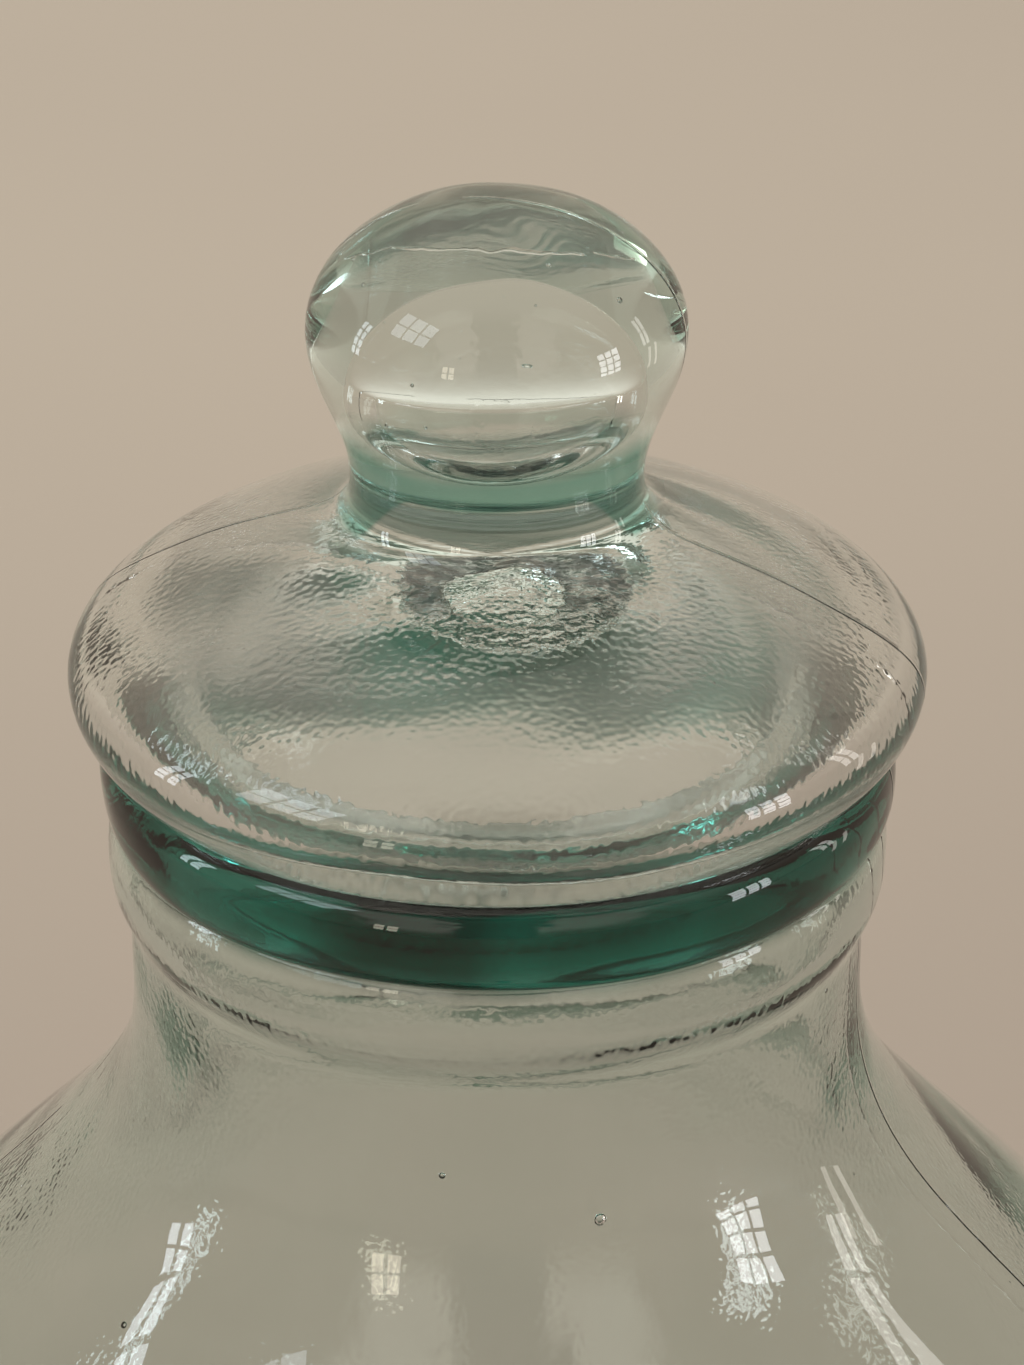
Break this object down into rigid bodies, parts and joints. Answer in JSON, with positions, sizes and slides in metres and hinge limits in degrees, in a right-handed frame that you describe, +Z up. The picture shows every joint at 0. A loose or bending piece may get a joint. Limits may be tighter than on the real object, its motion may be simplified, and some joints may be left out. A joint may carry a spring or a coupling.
{
  "type": "beverage dispenser",
  "caption": "Green recycled-glass beverage dispenser: shouldered jar with a rolled rim, lift-off glass lid with a bulb knob, and a lever tap near the base.",
  "frame": {"origin": "centre of the jar's flat base, on the surface it stands on", "axes": "+Z up along the jar's axis, -Y out of the tap towards the user, +X to the user's right"},
  "size_m": [0.25, 0.2996, 0.3939],
  "materials": {
    "green_glass": "clear blown recycled glass, pale aqua green, dark teal where it is thick",
    "tap_steel": "satin stainless steel",
    "spring_steel": "drawn spring wire",
    "silicone": "translucent white silicone, matt",
    "grip_plastic": "turned black phenolic, semi-gloss"
  },
  "bodies": {
    "dispenser": {"jar": "green_glass", "tap_body": "tap_steel", "tap_outer_washer": "silicone", "tap_inner_washer": "silicone", "tap_lock_nut": "tap_steel", "tap_bonnet": "tap_steel", "bonnet_gasket": "silicone", "return_spring": "spring_steel"},
    "lid": {"lid": "green_glass"},
    "stem": {"valve_stem": "tap_steel", "seat_cup": "silicone", "lever_pin": "tap_steel"},
    "lever": {"tap_lever": "tap_steel", "lever_grip": "grip_plastic"}
  },
  "joints": [
    {"name": "lid_lift", "type": "slide", "parent": "dispenser", "child": "lid", "axis": [0, 0, 1], "range_m": [0, 0.12]},
    {"name": "stem_lift", "type": "slide", "parent": "dispenser", "child": "stem", "axis": [0, 0, 1], "range_m": [0, 0.0045], "deforming": ["return_spring"]},
    {"name": "lever_tilt", "type": "hinge", "parent": "stem", "child": "lever", "pos_m": [0, -0.15942, 0.0825], "axis": [1, 0, 0], "range_deg": [0, 65], "stiffness_Nm_per_rad": 0.0094, "springref_deg": -86.52}
  ],
  "couplings": [
    {"joint": "stem_lift", "follows": "lever_tilt", "m_per_rad": 0.003966}
  ]
}
